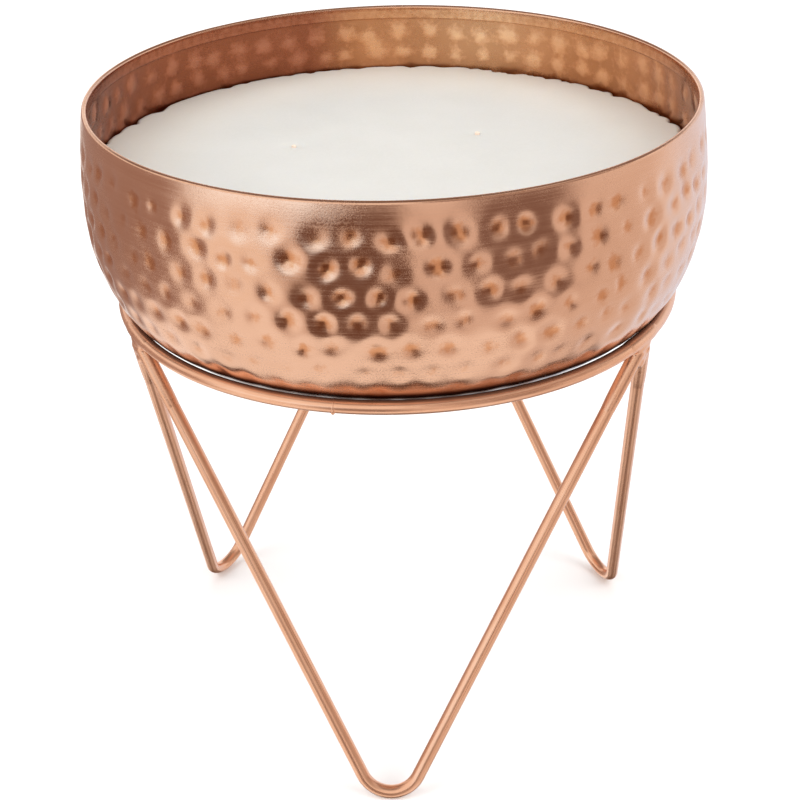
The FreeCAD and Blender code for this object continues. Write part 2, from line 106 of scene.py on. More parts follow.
class Graph:
    """A small helper that wires shader nodes."""

    def __init__(self, tree):
        self.tree = tree

    def node(self, kind, **settings):
        made = self.tree.nodes.new(kind)
        for name, value in settings.items():
            setattr(made, name, value)
        return made

    def link(self, source, target):
        self.tree.links.new(source, target)

    def position(self, scale):
        """Object coordinates stretched by scale."""
        place = self.node("ShaderNodeTexCoord")
        stretch = self.node("ShaderNodeMapping")
        stretch.inputs["Scale"].default_value = scale
        self.link(place.outputs["Object"], stretch.inputs["Vector"])
        return stretch.outputs["Vector"]

    def attribute(self, name, scale):
        """A vector stored on the mesh, stretched by scale."""
        place = self.node("ShaderNodeAttribute", attribute_name=name)
        stretch = self.node("ShaderNodeMapping")
        stretch.inputs["Scale"].default_value = scale
        self.link(place.outputs["Vector"], stretch.inputs["Vector"])
        return stretch.outputs["Vector"]

    def noise(self, vector, scale, detail=3.0, rough=0.55):
        made = self.node("ShaderNodeTexNoise")
        made.inputs["Scale"].default_value = scale
        made.inputs["Detail"].default_value = detail
        made.inputs["Roughness"].default_value = rough
        self.link(vector, made.inputs["Vector"])
        return made.outputs["Fac"]

    def spread(self, value, low, high, out_low, out_high):
        """A value mapped in a straight line from low..high to out_low..out_high, and held there."""
        made = self.node("ShaderNodeMapRange")
        return self.mapped(made, value, low, high, out_low, out_high)

    def smooth(self, value, start, end):
        """0 before start, 1 after end, smooth between; start may be the higher one."""
        made = self.node("ShaderNodeMapRange", interpolation_type="SMOOTHSTEP")
        flip = start > end
        low, high = (end, start) if flip else (start, end)
        return self.mapped(made, value, low, high, float(flip), 1.0 - flip)

    def mapped(self, made, value, low, high, out_low, out_high):
        """Sets a map range node's limits and returns its result."""
        made.inputs["From Min"].default_value = low
        made.inputs["From Max"].default_value = high
        made.inputs["To Min"].default_value = out_low
        made.inputs["To Max"].default_value = out_high
        self.link(value, made.inputs["Value"])
        return made.outputs["Result"]

    def ramp(self, value, stops):
        """A colour that follows a value through (position, colour) stops."""
        made = self.node("ShaderNodeValToRGB")
        made.color_ramp.elements[0].position = stops[0][0]
        made.color_ramp.elements[0].color = (*stops[0][1], 1)
        made.color_ramp.elements[1].position = stops[-1][0]
        made.color_ramp.elements[1].color = (*stops[-1][1], 1)
        for position, colour in stops[1:-1]:
            made.color_ramp.elements.new(position).color = (*colour, 1)
        self.link(value, made.inputs["Fac"])
        return made.outputs["Color"]

    def mix(self, factor, first, second, blend="MIX"):
        """Two colours mixed by factor; either may be a plain colour."""
        made = self.node("ShaderNodeMix", data_type="RGBA", blend_type=blend)
        self.link(factor, made.inputs["Factor"])
        for socket, value in ((made.inputs[6], first), (made.inputs[7], second)):
            if isinstance(value, tuple):
                socket.default_value = (*value, 1)
            else:
                self.link(value, socket)
        return made.outputs[2]

    def math(self, operation, first, second):
        made = self.node("ShaderNodeMath", operation=operation)
        for socket, value in zip(made.inputs, (first, second)):
            if isinstance(value, (int, float)):
                socket.default_value = value
            else:
                self.link(value, socket)
        return made.outputs["Value"]

    def bump(self, height, strength, distance, normal=None):
        made = self.node("ShaderNodeBump")
        made.inputs["Strength"].default_value = strength
        made.inputs["Distance"].default_value = distance
        self.link(height, made.inputs["Height"])
        if normal is not None:
            self.link(normal, made.inputs["Normal"])
        return made.outputs["Normal"]


def new_material(name):
    """An empty node material and its Principled shader."""
    material = bpy.data.materials.new(name)
    material.use_nodes = True
    shader = material.node_tree.nodes["Principled BSDF"]
    return material, Graph(material.node_tree), shader


def sheet_copper():
    """Satin copper plate: fine brushing round the bowl, sandy pitting, cloudy tint, patina and painted shade in
    the dents, painted contact shade at the ring, and a browner inside with painted shade, highlights and
    reflections.
    """
    material, graph, shader = new_material("copper_sheet")
    shader.inputs["Metallic"].default_value = 1.0
    cloud = graph.noise(graph.position((1, 1, 1)), 22.0, 3.0)
    streak = graph.noise(graph.position((14, 14, 1500)), 1.0, 4.0, 0.65)
    ripple = graph.noise(graph.position((1, 1, 1)), 330.0, 3.0, 0.6)
    pit = graph.noise(graph.position((1, 1, 1)), 1900.0, 2.0, 0.6)
    patches = graph.spread(graph.noise(graph.position((1, 1, 1)), 30.0, 2.0), 0.45, 0.62, 0.15, 1.0)
    tint = graph.math("ADD", graph.math("MULTIPLY", cloud, 0.6), graph.math("MULTIPLY", streak, 0.4))
    outside = graph.ramp(tint, [(0.35, OUTSIDE_DARK), (0.65, OUTSIDE_LIGHT)])
    place = graph.node("ShaderNodeAttribute", attribute_name="finish_and_shade")
    split = graph.node("ShaderNodeSeparateXYZ")
    graph.link(place.outputs["Vector"], split.inputs["Vector"])
    hollow = graph.math("ADD", split.outputs["Y"], graph.spread(ripple, 0.3, 0.7, -0.22, 0.22))
    # Dents outside are darker and redder: partly patina, partly painted shade.
    outside = graph.mix(graph.smooth(hollow, 0.30, 1.05), outside, PATINA_AND_SHADE, "MULTIPLY")
    # The inside is darker between its bumps and lighter on them: painted shade and painted highlights.
    raised = graph.math("ADD", graph.smooth(hollow, 0.05, 0.95), graph.spread(cloud, 0.3, 0.7, -0.2, 0.2))
    inside = graph.ramp(raised, [(0.0, INSIDE_SHADED), (0.25, INSIDE_PLAIN), (1.0, INSIDE_HIGHLIT)])
    # Painted shade and a painted reflection on the inside wall, fixed by azimuth.
    tone = graph.node("ShaderNodeAttribute", attribute_name="tone")
    shares = graph.node("ShaderNodeSeparateXYZ")
    graph.link(tone.outputs["Vector"], shares.inputs["Vector"])
    inside = graph.mix(shares.outputs["X"], inside, INSIDE_PAINTED_SHADE, "MULTIPLY")
    inside = graph.mix(shares.outputs["Y"], inside, INSIDE_PAINTED_REFLECTION, "MULTIPLY")
    metal = graph.mix(split.outputs["X"], outside, inside)
    # Painted contact shade in a band where the bowl sits in the ring.
    metal = graph.mix(split.outputs["Z"], metal, SEAT_SHADE, "MULTIPLY")
    graph.link(metal, shader.inputs["Base Color"])
    grit = graph.math("MULTIPLY", graph.spread(pit, 0.42, 0.7, 0.0, 0.22), patches)
    rough = graph.math("ADD", graph.spread(streak, 0.35, 0.65, 0.13, 0.24), grit)
    graph.link(rough, shader.inputs["Roughness"])
    brushed = graph.bump(streak, 0.26, 0.00006)
    worked = graph.bump(ripple, 0.12, 0.0002, brushed)
    graph.link(graph.bump(grit, 0.27, 0.0003, worked), shader.inputs["Normal"])
    return material


def wire_copper(name, scale, tint=1.0):
    """Satin copper plate with a grain stretched by scale: drawn along a wire, or even on a weld."""
    material, graph, shader = new_material(name)
    shader.inputs["Metallic"].default_value = 0.92
    drawn = graph.noise(graph.attribute("grain", scale), 1.0, 3.0, 0.6)
    cloud = graph.noise(graph.position((1, 1, 1)), 60.0, 2.0)
    mixed = graph.math("ADD", graph.math("MULTIPLY", cloud, 0.6), graph.math("MULTIPLY", drawn, 0.4))
    dark = tuple(c * tint for c in WIRE_DARK)
    light = tuple(c * tint for c in WIRE_LIGHT)
    graph.link(graph.ramp(mixed, [(0.35, dark), (0.65, light)]), shader.inputs["Base Color"])
    graph.link(graph.spread(drawn, 0.3, 0.7, 0.25, 0.33), shader.inputs["Roughness"])
    graph.link(graph.bump(drawn, 0.07, 0.00004), shader.inputs["Normal"])
    return material


def candle_wax():
    """Off-white wax that lets light in, faintly mottled and fine-grained, with painted warm light near the wall
    where the copper lights it.
    """
    material, graph, shader = new_material("wax")
    mottle = graph.noise(graph.position((1, 1, 1)), 35.0, 4.0)
    grain = graph.noise(graph.position((1, 1, 1)), 900.0, 2.0)
    reach = graph.node("ShaderNodeVectorMath", operation="LENGTH")
    graph.link(graph.position((1, 1, 0)), reach.inputs[0])
    # Plain wax away from the wall; near the wall lighter and warmer: painted light for the glow the copper wall
    # throws on it.
    plain_wax = graph.ramp(mottle, [(0.3, (0.595, 0.585, 0.552)), (0.7, (0.622, 0.611, 0.578))])
    painted_warm_light = graph.ramp(mottle, [(0.3, (0.70, 0.655, 0.585)), (0.7, (0.73, 0.685, 0.615))])
    near_wall = graph.smooth(reach.outputs["Value"], 0.075, 0.130)
    graph.link(graph.mix(near_wall, plain_wax, painted_warm_light), shader.inputs["Base Color"])
    shader.inputs["Subsurface Weight"].default_value = 0.25
    shader.inputs["Subsurface Radius"].default_value = (0.004, 0.003, 0.002)
    shader.inputs["Subsurface Scale"].default_value = 1.0
    graph.link(graph.spread(grain, 0.3, 0.7, 0.42, 0.6), shader.inputs["Roughness"])
    soft = graph.bump(mottle, 0.2, 0.0005)
    graph.link(graph.bump(grain, 0.15, 0.00008, soft), shader.inputs["Normal"])
    return material


def plain(name, colour, rough, metallic, scale):
    """A lightly mottled finish for small pieces."""
    material, graph, shader = new_material(name)
    shader.inputs["Metallic"].default_value = metallic
    cloud = graph.noise(graph.position((1, 1, 1)), scale, 3.0)
    dark = tuple(c * 0.85 for c in colour)
    graph.link(graph.ramp(cloud, [(0.3, dark), (0.7, colour)]), shader.inputs["Base Color"])
    graph.link(graph.spread(cloud, 0.3, 0.7, rough * 0.85, rough * 1.15), shader.inputs["Roughness"])
    graph.link(graph.bump(cloud, 0.3, 0.0001), shader.inputs["Normal"])
    return material


COPPER_SHEET = sheet_copper()
COPPER_WIRE = wire_copper("copper_wire", (25, 1400, 1400))
COPPER_WELD = wire_copper("copper_weld", (420, 420, 420), 0.97)
WAX = candle_wax()
WICK = plain("wick", (0.90, 0.73, 0.59), 0.8, 0.0, 1500.0)
TIN = plain("tin", (0.72, 0.72, 0.71), 0.3, 1.0, 300.0)


# ------------------------------------------------------------------ mesh building


def make_piece(name, points, faces, material, body, replaced, attributes=None):
    """A smooth mesh that rides on a body and stands for CAD nodes."""
    mesh = bpy.data.meshes.new(name)
    mesh.from_pydata(points.tolist(), [], faces)
    mesh.polygons.foreach_set("use_smooth", np.ones(len(mesh.polygons), bool))
    for key, values in (attributes or {}).items():
        layer = mesh.attributes.new(key, "FLOAT_VECTOR", "POINT")
        layer.data.foreach_set("vector", np.asarray(values, np.float32).ravel())
    mesh.materials.append(material)
    mesh.update()
    made = bpy.data.objects.new(name, mesh)
    bpy.context.scene.collection.objects.link(made)
    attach(made, body)
    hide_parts(*replaced)
    return made


def grid_faces(rows, columns, closed_rows=False):
    """Quads between rows of points, each row a closed loop of columns."""
    last = rows if closed_rows else rows - 1
    row, column = np.meshgrid(np.arange(last), np.arange(columns), indexing="ij")
    nxt = (column + 1) % columns
    up = (row + 1) % rows
    here = row * columns
    above = up * columns
    quads = np.stack([here + column, here + nxt, above + nxt, above + column], -1)
    return quads.reshape(-1, 4).tolist()


def around(columns):
    """Evenly spaced azimuths and the unit x and y of each."""
    angle = np.linspace(0, 2 * math.pi, columns, endpoint=False)
    return angle, np.sin(angle), -np.cos(angle)


# ------------------------------------------------------------------ bowl outline


def knuckle_centre():
    """Centre of the knuckle arc, which touches the side arc and the bottom arc from inside."""
    side = np.array([WIDEST - SIDE_ARC, WIDEST_HEIGHT])
    bottom = np.array([BASE_RADIUS, BASE + BOTTOM_ARC])
    from_side = SIDE_ARC - KNUCKLE_ARC
    from_bottom = BOTTOM_ARC - KNUCKLE_ARC
    apart = bottom - side
    distance = np.hypot(*apart)
    along = (from_side**2 - from_bottom**2 + distance**2) / (2 * distance)
    off = math.sqrt(from_side**2 - along**2)
    unit = apart / distance
    square = np.array([-unit[1], unit[0]])
    return max((side + unit * along + square * off * sign for sign in (1, -1)), key=lambda point: point[0])


def outline(inset, top, steps):
    """Points (radius, height) down the bowl's wall, moved in by inset, from a height to the flat base.

    steps gives the spacing on the upper, side, knuckle and bottom arcs.
    """
    side = np.array([WIDEST - SIDE_ARC, WIDEST_HEIGHT])
    upper = np.array([WIDEST - UPPER_ARC, WIDEST_HEIGHT])
    bottom = np.array([BASE_RADIUS, BASE + BOTTOM_ARC])
    knuckle = knuckle_centre()
    high = math.atan2(*(knuckle - side)[::-1])
    low = math.atan2(*(knuckle - bottom)[::-1])
    arcs = []
    start = math.asin(min(1.0, (top - WIDEST_HEIGHT) / (UPPER_ARC - inset)))
    if start > 0:
        arcs.append((upper, UPPER_ARC - inset, start, 0.0, steps[0]))
    arcs.append((side, SIDE_ARC - inset, min(0.0, start), high, steps[1]))
    arcs.append((knuckle, KNUCKLE_ARC - inset, high, low, steps[2]))
    arcs.append((bottom, BOTTOM_ARC - inset, low, -math.pi / 2, steps[3]))
    points = []
    for centre, radius, begin, end, step in arcs:
        count = max(2, int(math.ceil(abs(end - begin) * radius / step)))
        angle = np.linspace(begin, end, count, endpoint=False)
        points.append(centre + radius * np.stack([np.cos(angle), np.sin(angle)], -1))
    points.append(np.array([[BASE_RADIUS, BASE + inset]]))
    return np.concatenate(points)


def run_length(points):
    """Distance along a line of points from its first one, by their first two coordinates.

    On a path in space that is the distance measured level.
    """
    steps = np.diff(points, axis=0)
    return np.concatenate([[0.0], np.cumsum(np.hypot(steps[:, 0], steps[:, 1]))])


# ------------------------------------------------------------------ hammering

DENT_ROW_PITCH = 11.8 * MM
DENT_PITCH = 14.2 * MM
DENT_RADIUS = 2.95 * MM  # from the deepest point to the steepest
DENT_DEPTH = 1.12 * MM
DENT_REACH = 3.0  # radii from a mark's middle beyond which it no longer counts
FIRST_ROW = 13.0 * MM
LAST_ROW_GAP = 4.0 * MM
DEEPEST = 2.1 * MM  # more than any mark and wave together
INSIDE_SHARE = 0.6  # how much of a mark shows through on the inside
LOW_ROW_SHARE = 0.5  # how much of a mark is left just above the ring
SEAT_SHARE = 0.2  # how much of a mark is left where the bowl sits on the ring
WAVE = 0.12 * MM


def dents(outer):
    """Every hammer mark as (azimuth, distance down the wall, radius, depth, stretch, turn)."""
    length = run_length(outer)
    marks = []
    row = FIRST_ROW
    shift = 0.0
    while row < length[-1] - LAST_ROW_GAP:
        radius = np.interp(row, length, outer[:, 0])
        count = int(round(2 * math.pi * radius / DENT_PITCH))
        shift += rng.uniform(0.34, 0.66)
        for place in range(count):
            azimuth = 2 * math.pi * (place + shift + rng.normal(0, 0.085)) / count
            down = row + rng.normal(0, 0.9 * MM)
            size = DENT_RADIUS * rng.uniform(0.86, 1.1)
            depth = DENT_DEPTH * rng.uniform(0.7, 1.2)
            stretch = rng.uniform(0.88, 1.12)
            turn = rng.uniform(0, math.pi)
            marks.append((azimuth % (2 * math.pi), down, size, depth, stretch, turn))
        row += DENT_ROW_PITCH
    return np.array(marks)


def dent_field(marks, length, radius, columns):
    """How deep the wall is dented at each (row, column): slightly oval round-edged bowls."""
    field = np.zeros((len(length), columns))
    step = 2 * math.pi / columns
    for azimuth, down, size, depth, stretch, turn in marks:
        reach = size * DENT_REACH
        rows = np.nonzero(np.abs(length - down) < reach)[0]
        if not len(rows):
            continue
        here = max(radius[rows].min(), 20 * MM)
        half = int(math.ceil(reach / here / step)) + 1
        centre = int(round(azimuth / step))
        columns_here = np.arange(centre - half, centre + half + 1)
        across = (columns_here * step - azimuth)[None, :] * radius[rows][:, None]
        along = np.broadcast_to((length[rows] - down)[:, None], across.shape)
        first = (across * math.cos(turn) + along * math.sin(turn)) * stretch
        second = (along * math.cos(turn) - across * math.sin(turn)) / stretch
        q = np.hypot(first, second) / size
        field[np.ix_(rows, columns_here % columns)] += depth * np.exp(-0.5 * q**2)
    return field


def normals_of(points):
    """Outward unit normals of an outline that runs down and inward."""
    tangent = np.gradient(points, axis=0)
    normal = np.stack([-tangent[:, 1], tangent[:, 0]], -1)
    return normal / np.linalg.norm(normal, axis=1)[:, None]


BOWL_COLUMNS = 672
ROLL_STEPS = 8
# This lightens the hem with some of the inside bumps' painted highlight, and gives the rim's outside a little of
# the dents' patina and painted shade.
HEM_HOLLOW = 0.4  # the plain rim and hem are coloured as if dented by this share
bowl_outer = outline(0.0, RIM - HEM / 2, (1.25 * MM, 1.25 * MM, 1.6 * MM, 3.2 * MM))
bowl_inner = outline(SHEET, RIM - HEM_HEIGHT, (1.6 * MM, 11.0 * MM, 12.0 * MM, 14.0 * MM))
outer_length = run_length(bowl_outer)
hammer_marks = dents(bowl_outer)


def inner_lengths(points):
    """The outer wall's distance from the rim at each inner point, so that both faces share their dents."""
    gap = np.hypot(points[:, None, 0] - bowl_outer[None, :, 0], points[:, None, 1] - bowl_outer[None, :, 1])
    return outer_length[gap.argmin(1)]


def wall_wave(angle, length):
    """Slow unevenness of the hand-worked wall, never outward."""
    wave = np.sin(3 * angle + 0.4)[None, :] + 0.7 * np.sin(7 * angle + 2.0)[None, :]
    ripple = 0.8 * np.sin(17 * angle[None, :] + length[:, None] / (9 * MM))
    return WAVE * (2.5 + wave + ripple)


def lathe_rows(points, displacement, columns):
    """Rows of 3-D points: the outline turned round the axis and moved inward by displacement."""
    normal = normals_of(points)
    _, east, north = around(columns)
    radius = points[:, :1] - displacement * normal[:, :1]
    height = points[:, 1:] - displacement * normal[:, 1:]
    return np.stack([radius * east, radius * north, np.broadcast_to(height, radius.shape)], -1)


def fade(length, start, end):
    """0 before start, 1 after end, smooth between."""
    t = np.clip((length - start) / (end - start), 0, 1)
    return t * t * (3 - 2 * t)


def inside_painted_light(angle):
    """How much painted shade (x) and painted reflection (y) the inside of the wall gets at each azimuth."""
    degrees = np.degrees(angle)
    left = fade(degrees, 190, 203) * (1 - fade(degrees, 285, 320))
    right = 0.3 * fade(degrees, 60, 100) * (1 - fade(degrees, 110, 135))
    pale = np.exp(-(((degrees - 165) / 13) ** 2))
    return np.stack([left + right, pale, np.zeros_like(pale)], -1)


def make_bowl():
    """The hammered sheet: outside, rolled rim, hem and inside, as one closed skin."""
    angle, east, north = around(BOWL_COLUMNS)
    field = dent_field(hammer_marks, outer_length, bowl_outer[:, 0], BOWL_COLUMNS)
    seat = 1 - np.exp(-(((bowl_outer[:, 1:] - RING_HEIGHT - 2.4 * MM) / (5 * MM)) ** 2))
    low_rows = fade(bowl_outer[:, 1:], RING_HEIGHT + 8 * MM, RING_HEIGHT + 36 * MM)
    seat_left = SEAT_SHARE + (1 - SEAT_SHARE) * seat
    field = field * np.minimum(seat_left, LOW_ROW_SHARE + (1 - LOW_ROW_SHARE) * low_rows)
    wave = wall_wave(angle, outer_length) * fade(outer_length, 0, 20 * MM)[:, None] * seat
    wave = wave * (1 - fade(outer_length, outer_length[-1] - 30 * MM, outer_length[-1]))[:, None]
    outside = lathe_rows(bowl_outer, field + wave, BOWL_COLUMNS)

    inner_at = inner_lengths(bowl_inner)
    inner_field = dent_field(hammer_marks, inner_at, bowl_inner[:, 0], BOWL_COLUMNS)
    inner_wave = wall_wave(angle, inner_at) * fade(inner_at, 0, 20 * MM)[:, None]
    hidden = fade(WAX_LEVEL - bowl_inner[:, 1], 6 * MM, 12 * MM)[:, None]
    buried = DEEPEST * fade(WAX_LEVEL - bowl_inner[:, 1], 3 * MM, 12 * MM)[:, None]
    shown = (INSIDE_SHARE * inner_field + inner_wave) * (1 - hidden)
    inside = lathe_rows(bowl_inner, np.maximum(shown, buried), BOWL_COLUMNS)

    rim_outer = bowl_outer[0, 0]
    roll = np.linspace(0, math.pi, ROLL_STEPS + 1)[1:]
    half = HEM / 2
    rim_points = [(rim_outer - half + half * math.cos(a), RIM - half + half * math.sin(a)) for a in roll]
    hem_inner = rim_outer - HEM
    hem_low = RIM - HEM_HEIGHT
    rim_points += [(hem_inner, RIM - half - t * (HEM_HEIGHT - half - 0.5 * MM)) for t in (0.35, 0.7, 1.0)]
    rim_points += [(hem_inner + 0.15 * MM, hem_low + 0.15 * MM), (hem_inner + 0.5 * MM, hem_low)]
    rim_points += [(bowl_inner[0, 0] - 0.1 * MM, hem_low)]
    rim_rows = np.array([[(r * e, r * n, z) for e, n in zip(east, north)] for r, z in rim_points])

    rows = np.concatenate([outside[::-1], rim_rows, inside])
    points = rows.reshape(-1, 3)
    faces = grid_faces(len(rows), BOWL_COLUMNS)
    bottom = len(points)
    points = np.concatenate([points, [[0, 0, BASE], [0, 0, BASE + SHEET]]])
    last = (len(rows) - 1) * BOWL_COLUMNS
    for column in range(BOWL_COLUMNS):
        nxt = (column + 1) % BOWL_COLUMNS
        faces.append((bottom, nxt, column))
        faces.append((bottom + 1, last + column, last + nxt))
    flat = np.full((len(rim_rows), BOWL_COLUMNS), HEM_HOLLOW * DENT_DEPTH)
    hollow = np.concatenate([field[::-1], flat, inner_field * (1 - hidden)]) / DENT_DEPTH
    # x marks the inside; y is how deep each dent is, which drives the dents' patina and painted shade and the
    # inside's painted highlights; z is the painted contact shade where the bowl sits in the ring.
    finish_and_shade = np.zeros((len(points), 3))
    inside_start = len(outside) + ROLL_STEPS - 1
    finish_and_shade[inside_start * BOWL_COLUMNS:-2, 0] = 1.0
    finish_and_shade[:-2, 1] = hollow.ravel()
    above = fade(points[:, 2], RING_HEIGHT - 6 * MM, RING_HEIGHT)
    below = 1 - fade(points[:, 2], RING_HEIGHT + 4.5 * MM, RING_HEIGHT + 9.5 * MM)
    finish_and_shade[:, 2] = above * below * (1 - finish_and_shade[:, 0])
    # tone: painted shade (x) and painted reflection (y) on the inside wall, by azimuth.
    tone = np.concatenate([np.tile(inside_painted_light(angle), (len(rows), 1)), np.zeros((2, 3))])
    marks = {"finish_and_shade": finish_and_shade, "tone": tone}
    replaced = ["bowl_shell"]
    return make_piece("bowl_sheet", points, faces, COPPER_SHEET, "bowl", replaced, marks)


# ------------------------------------------------------------------ wax and wicks

WAX_COLUMNS = 480
WAX_STEPS = (6 * MM, 6 * MM, 10 * MM, 10 * MM)
CHIPS_ALL_ROUND = 70
CHIPS_AT_BACK = 45
WICKS = {name: (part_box(name)[0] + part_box(name)[1]) / 2 for name in ("wick_front", "wick_right", "wick_left")}
WICK_TRIM = {"wick_front": 1.2 * MM}  # cut shorter than the others
WICK_COLUMNS = 20


def wax_surface(x, y, edge):
    """Height of the wax at a point: nearly flat, a dimple at each wick, uneven at the wall."""
    height = np.full_like(x, WAX_LEVEL)
    height -= 0.25 * MM * (1 + np.sin(31 * x + 1.0) * np.sin(27 * y))
    for centre in WICKS.values():
        distance = np.hypot(x - centre.x, y - centre.y)
        height -= 0.9 * MM * np.exp(-((distance / (4.0 * MM)) ** 2))
    return height - edge


def make_wax():
    """The block of wax: its edge follows the dented wall and is chipped here and there."""
    angle, east, north = around(WAX_COLUMNS)
    block = outline(SHEET + 0.3 * MM, WAX_LEVEL, WAX_STEPS)
    buried = outline(SHEET + DEEPEST + 0.5 * MM, WAX_LEVEL - 5 * MM, WAX_STEPS)
    at = inner_lengths(block[:1])
    dent = dent_field(hammer_marks, at, block[:1, 0], WAX_COLUMNS)[0]
    all_round = rng.uniform(0, 2 * math.pi, CHIPS_ALL_ROUND)
    at_back = np.radians(rng.uniform(100, 175, CHIPS_AT_BACK))
    widths = rng.uniform(0.006, 0.025, CHIPS_ALL_ROUND + CHIPS_AT_BACK)
    depths = rng.uniform(0.2 * MM, 1.6 * MM, CHIPS_ALL_ROUND + CHIPS_AT_BACK)
    chips = sum(
        depth * np.exp(-((((angle - place + math.pi) % (2 * math.pi) - math.pi) / width) ** 2))
        for place, width, depth in zip(np.concatenate([all_round, at_back]), widths, depths)
    )
    edge_radius = block[0, 0] - INSIDE_SHARE * dent - 0.3 * MM - chips
    shares = np.concatenate([np.linspace(0.02, 0.9, 42), np.linspace(0.91, 1.0, 14)])
    rows = []
    for share in shares:
        radius = edge_radius * share
        fall = 0.55 * MM * max(0.0, (share - 0.985) / 0.015) ** 2 * (1 + chips / MM)
        x, y = radius * east, radius * north
        rows.append(np.stack([x, y, wax_surface(x, y, fall)], -1))
    for radius, height in buried:
        rows.append(np.stack([radius * east, radius * north, np.full(WAX_COLUMNS, height)], -1))
    rows = np.array(rows)
    faces = [face[::-1] for face in grid_faces(len(rows), WAX_COLUMNS)]
    centre_height = float(wax_surface(np.zeros(1), np.zeros(1), 0.0)[0])
    top = len(rows) * WAX_COLUMNS
    points = np.concatenate([rows.reshape(-1, 3), [[0, 0, centre_height], [0, 0, buried[-1, 1]]]])
    last = (len(rows) - 1) * WAX_COLUMNS
    for column in range(WAX_COLUMNS):
        nxt = (column + 1) % WAX_COLUMNS
        faces.append((top, column, nxt))
        faces.append((top + 1, last + nxt, last + column))
    return make_piece("wax_block", points, faces, WAX, "bowl", ["wax_fill"])


def make_wick(name):
    """A trimmed wick: a braided cord with a fuzzy cut end just above the wax."""
    low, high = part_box(name)
    centre = (low + high) / 2
    radius = (high.x - low.x) / 2
    high.z -= WICK_TRIM.get(name, 0.0)
    angle, east, north = around(WICK_COLUMNS)
    profile = (
        (low.z, 1.0),
        (WAX_LEVEL - 3 * MM, 1.0),
        (min(WAX_LEVEL - 0.8 * MM, high.z - 1 * MM), 0.95),
        (high.z - 0.9 * MM, 0.9),
        (high.z - 0.7 * MM, 0.75),
        (high.z - 0.65 * MM, 0.35),
    )
    rows = []
    for height, share in profile:
        braid = 1 - 0.1 * np.abs(np.sin(3 * angle + height / MM))
        uneven = rng.uniform(-0.1 * MM, 0.1 * MM, WICK_COLUMNS) * (height > WAX_LEVEL - 1 * MM)
        r = radius * share * braid
        rows.append(np.stack([centre.x + r * east, centre.y + r * north, height + uneven], -1))
    rows = np.array(rows)
    faces = grid_faces(len(rows), WICK_COLUMNS)
    caps = [[centre.x, centre.y, height] for height in (low.z, high.z - 0.6 * MM)]
    points = np.concatenate([rows.reshape(-1, 3), caps])
    last = (len(rows) - 1) * WICK_COLUMNS
    for column in range(WICK_COLUMNS):
        nxt = (column + 1) % WICK_COLUMNS
        faces.append((len(points) - 2, nxt, column))
        faces.append((len(points) - 1, last + column, last + nxt))
    return make_piece(name + "_cord", points, faces, WICK, "bowl", [name])


# ------------------------------------------------------------------ wires and welds

WIRE_SIDES = 24
RING_STEPS = 480
BEND_STEPS = 22
ARM_STEPS = 60
ARM_NEAR_END = 30  # points of a leg's path that are enough for its weld

THREAD_STEPS = 40
THREAD_SIDES = 32
THREAD_TIP = 0.85 * WIRE  # inside the wire, so that the run-out's end doesn't show
RING_THREAD = (14 * MM, 3.3 * MM)  # length, measured level, and radius of a run-out along the ring
LEG_THREAD = (17 * MM, 3.35 * MM)  # the same down a leg, where 17 mm level is 34 mm along the wire
JOINT_VOXEL = 0.3 * MM
JOINT_RELAX = 22
SEAM_VOXEL = 0.2 * MM
SEAM_RELAX = 3


def sweep(path, radius, sides, closed):
    """Rings of points for a round wire along a path, and its grain: level distance, then the section."""
    path = np.asarray(path)
    if closed:
        tangent = np.roll(path, -1, 0) - np.roll(path, 1, 0)
    else:
        tangent = np.gradient(path, axis=0)
    tangent /= np.linalg.norm(tangent, axis=1)[:, None]
    normal = np.cross(tangent[0], [0.0, 0.0, 1.0])
    frames = []
    for t in tangent:
        normal = normal - t * np.dot(normal, t)
        normal /= np.linalg.norm(normal)
        frames.append((normal, np.cross(t, normal)))
    turn = np.linspace(0, 2 * math.pi, sides, endpoint=False)
    size = np.broadcast_to(radius, len(path))
    rings = np.array([
        p + s * (np.cos(turn)[:, None] * n + np.sin(turn)[:, None] * b)
        for p, s, (n, b) in zip(path, size, frames)
    ])
    along = run_length(path)
    grain = np.stack(np.broadcast_arrays(along[:, None], WIRE * np.cos(turn), WIRE * np.sin(turn)), -1)
    return rings, grain


def wire_piece(name, path, closed, material, replaced):
    """A wire along a path, with square-cut ends where it is open."""
    path = np.asarray(path)
    rings, grain = sweep(path, WIRE, WIRE_SIDES, closed)
    rows = len(rings)
    faces = grid_faces(rows, WIRE_SIDES, closed)
    points = rings.reshape(-1, 3)
    marks = grain.reshape(-1, 3)
    if not closed:
        ends = np.array([path[0], path[-1]])
        first = len(points)
        points = np.concatenate([points, ends])
        marks = np.concatenate([marks, marks[[0, -1]]])
        last = (rows - 1) * WIRE_SIDES
        for side in range(WIRE_SIDES):
            nxt = (side + 1) % WIRE_SIDES
            faces.append((first, nxt, side))
            faces.append((first + 1, last + side, last + nxt))
    faces = [face[::-1] for face in faces]
    return make_piece(name, points, faces, material, "stand", replaced, {"grain": marks})


def on_azimuth(radius, azimuth, height):
    """A point at a radius, azimuth in degrees and height."""
    angle = math.radians(azimuth)
    return np.array([radius * math.sin(angle), -radius * math.cos(angle), height])


def ring_path():
    """The ring's centre line, very slightly out of true as a rolled wire is."""
    azimuths = np.linspace(0, 360, RING_STEPS, endpoint=False)
    wobble = 0.05 * MM * np.sin(np.radians(azimuths * 5 + 40))
    return [on_azimuth(RING_RADIUS, a, RING_HEIGHT + w) for a, w in zip(azimuths, wobble)]


